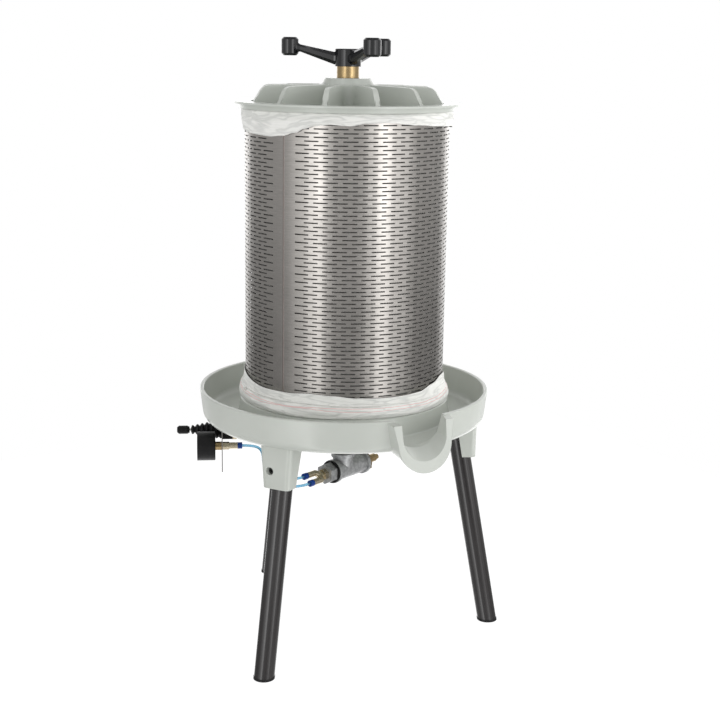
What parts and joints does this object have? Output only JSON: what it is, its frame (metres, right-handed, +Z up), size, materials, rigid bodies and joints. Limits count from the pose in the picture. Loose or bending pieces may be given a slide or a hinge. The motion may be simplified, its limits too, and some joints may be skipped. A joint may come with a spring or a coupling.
{
  "type": "pneumatic fruit press",
  "caption": "Free-standing pneumatic fruit press: perforated steel basket on a cast tray with a spout and tube legs, ribbed lid, star-handle nut, air gauge and hand valve.",
  "frame": {"origin": "on the floor under the tie rod, at the centre of the circle through the three feet", "axes": "+Z up along the tie rod, -Y out of the juice spout, +X to the right when facing the spout from in front"},
  "size_m": [0.6216, 0.6863, 1.2647],
  "materials": {
    "cast_paint": "cast aluminium, light grey-green stoving enamel, satin",
    "leg_paint": "dark grey hammered paint",
    "black_plastic": "moulded black",
    "handle_black": "cast, gloss black lacquer",
    "zinc_steel": "zinc plated",
    "stainless": "rolled stainless sheet, fine brushed",
    "rod_steel": "turned stainless",
    "black_rubber": "moulded black rubber",
    "grey_rubber": "food rubber",
    "galvanised": "malleable iron, hot-dip galvanised",
    "brass": "turned brass",
    "nickel": "nickel plated brass",
    "collet_blue": "moulded blue",
    "air_tube": "translucent light blue polyurethane tube",
    "gauge_black": "black enamelled steel",
    "dial_white": "white dial with plain black numbers",
    "needle_black": "black",
    "gauge_glass": "clear",
    "valve_black": "black anodised",
    "cloth_white": "white woven press cloth",
    "cord_white": "white cotton cord"
  },
  "bodies": {
    "stand": {"juice_tray": "cast_paint", "leg_tube_left": "leg_paint", "leg_tube_right": "leg_paint", "leg_tube_rear": "leg_paint", "foot_cap_left": "black_plastic", "foot_cap_right": "black_plastic", "foot_cap_rear": "black_plastic", "leg_bolts": "zinc_steel", "leg_nuts": "zinc_steel", "tie_rod": "rod_steel", "tie_rod_washer": "zinc_steel", "tie_rod_locknut": "galvanised", "membrane": "black_rubber", "membrane_flange_lower": "rod_steel", "membrane_flange_upper": "rod_steel", "membrane_bands": "stainless", "membrane_top_nut": "zinc_steel", "inlet_tee": "galvanised", "bush_seal": "black_rubber", "reducer_bush": "galvanised", "y_fitting": "nickel", "y_collets": "collet_blue", "safety_valve": "brass", "control_plate": "stainless", "plate_screws": "zinc_steel", "gauge_case": "gauge_black", "gauge_stem": "brass", "gauge_bourdon_tube": "brass", "gauge_dial": "dial_white", "gauge_lens": "gauge_glass", "gauge_bezel": "gauge_black", "gauge_fitting": "brass", "gauge_collet": "collet_blue", "valve_body": "valve_black", "valve_nut": "zinc_steel", "valve_fittings": "nickel", "valve_collet": "collet_blue", "lever_pin": "zinc_steel", "lever_boot": "black_rubber", "air_tube_gauge": "air_tube", "air_tube_valve": "air_tube", "basket_seal": "grey_rubber"},
    "needle": {"gauge_needle": "needle_black"},
    "lever": {"lever_rod": "zinc_steel", "lever_knob": "black_plastic"},
    "basket": {"basket_sheet": "stainless", "basket_hoops": "stainless", "press_bag": "cloth_white", "top_cuff": "cloth_white", "bottom_cuff": "cloth_white", "drawstring": "cord_white"},
    "lid": {"lid": "cast_paint", "lid_seal": "grey_rubber"},
    "washer": {"thrust_washer": "zinc_steel"},
    "star_nut": {"brass_nut": "brass", "star_handle": "handle_black", "grub_screw": "zinc_steel"}
  },
  "joints": [
    {"name": "basket_lift", "type": "slide", "parent": "stand", "child": "basket", "axis": [0, 0, 1], "range_m": [0, 0.72]},
    {"name": "lid_lift", "type": "slide", "parent": "basket", "child": "lid", "axis": [0, 0, 1], "range_m": [0, 0.25]},
    {"name": "nut_rise", "type": "slide", "parent": "lid", "child": "washer", "axis": [0, 0, 1], "range_m": [0, 0.0136]},
    {"name": "nut_spin", "type": "hinge", "parent": "washer", "child": "star_nut", "pos_m": [0, 0, 1.1852], "axis": [0, 0, 1], "range_deg": [0, 1620]},
    {"name": "lever_tilt", "type": "hinge", "parent": "stand", "child": "lever", "pos_m": [-0.21053, 0.14895, 0.431], "axis": [-0.4083, -0.9128, 0], "range_deg": [-12, 12], "stiffness_Nm_per_rad": 1.5, "deforming": ["lever_boot"]},
    {"name": "needle_turn", "type": "hinge", "parent": "stand", "child": "needle", "pos_m": [-0.26655, 0.11923, 0.4085], "axis": [0.9128, -0.4083, 0], "range_deg": [0, 270], "stiffness_Nm_per_rad": 0.005}
  ],
  "couplings": [
    {"joint": "nut_rise", "follows": "nut_spin", "m_per_rad": 0.00047746}
  ]
}
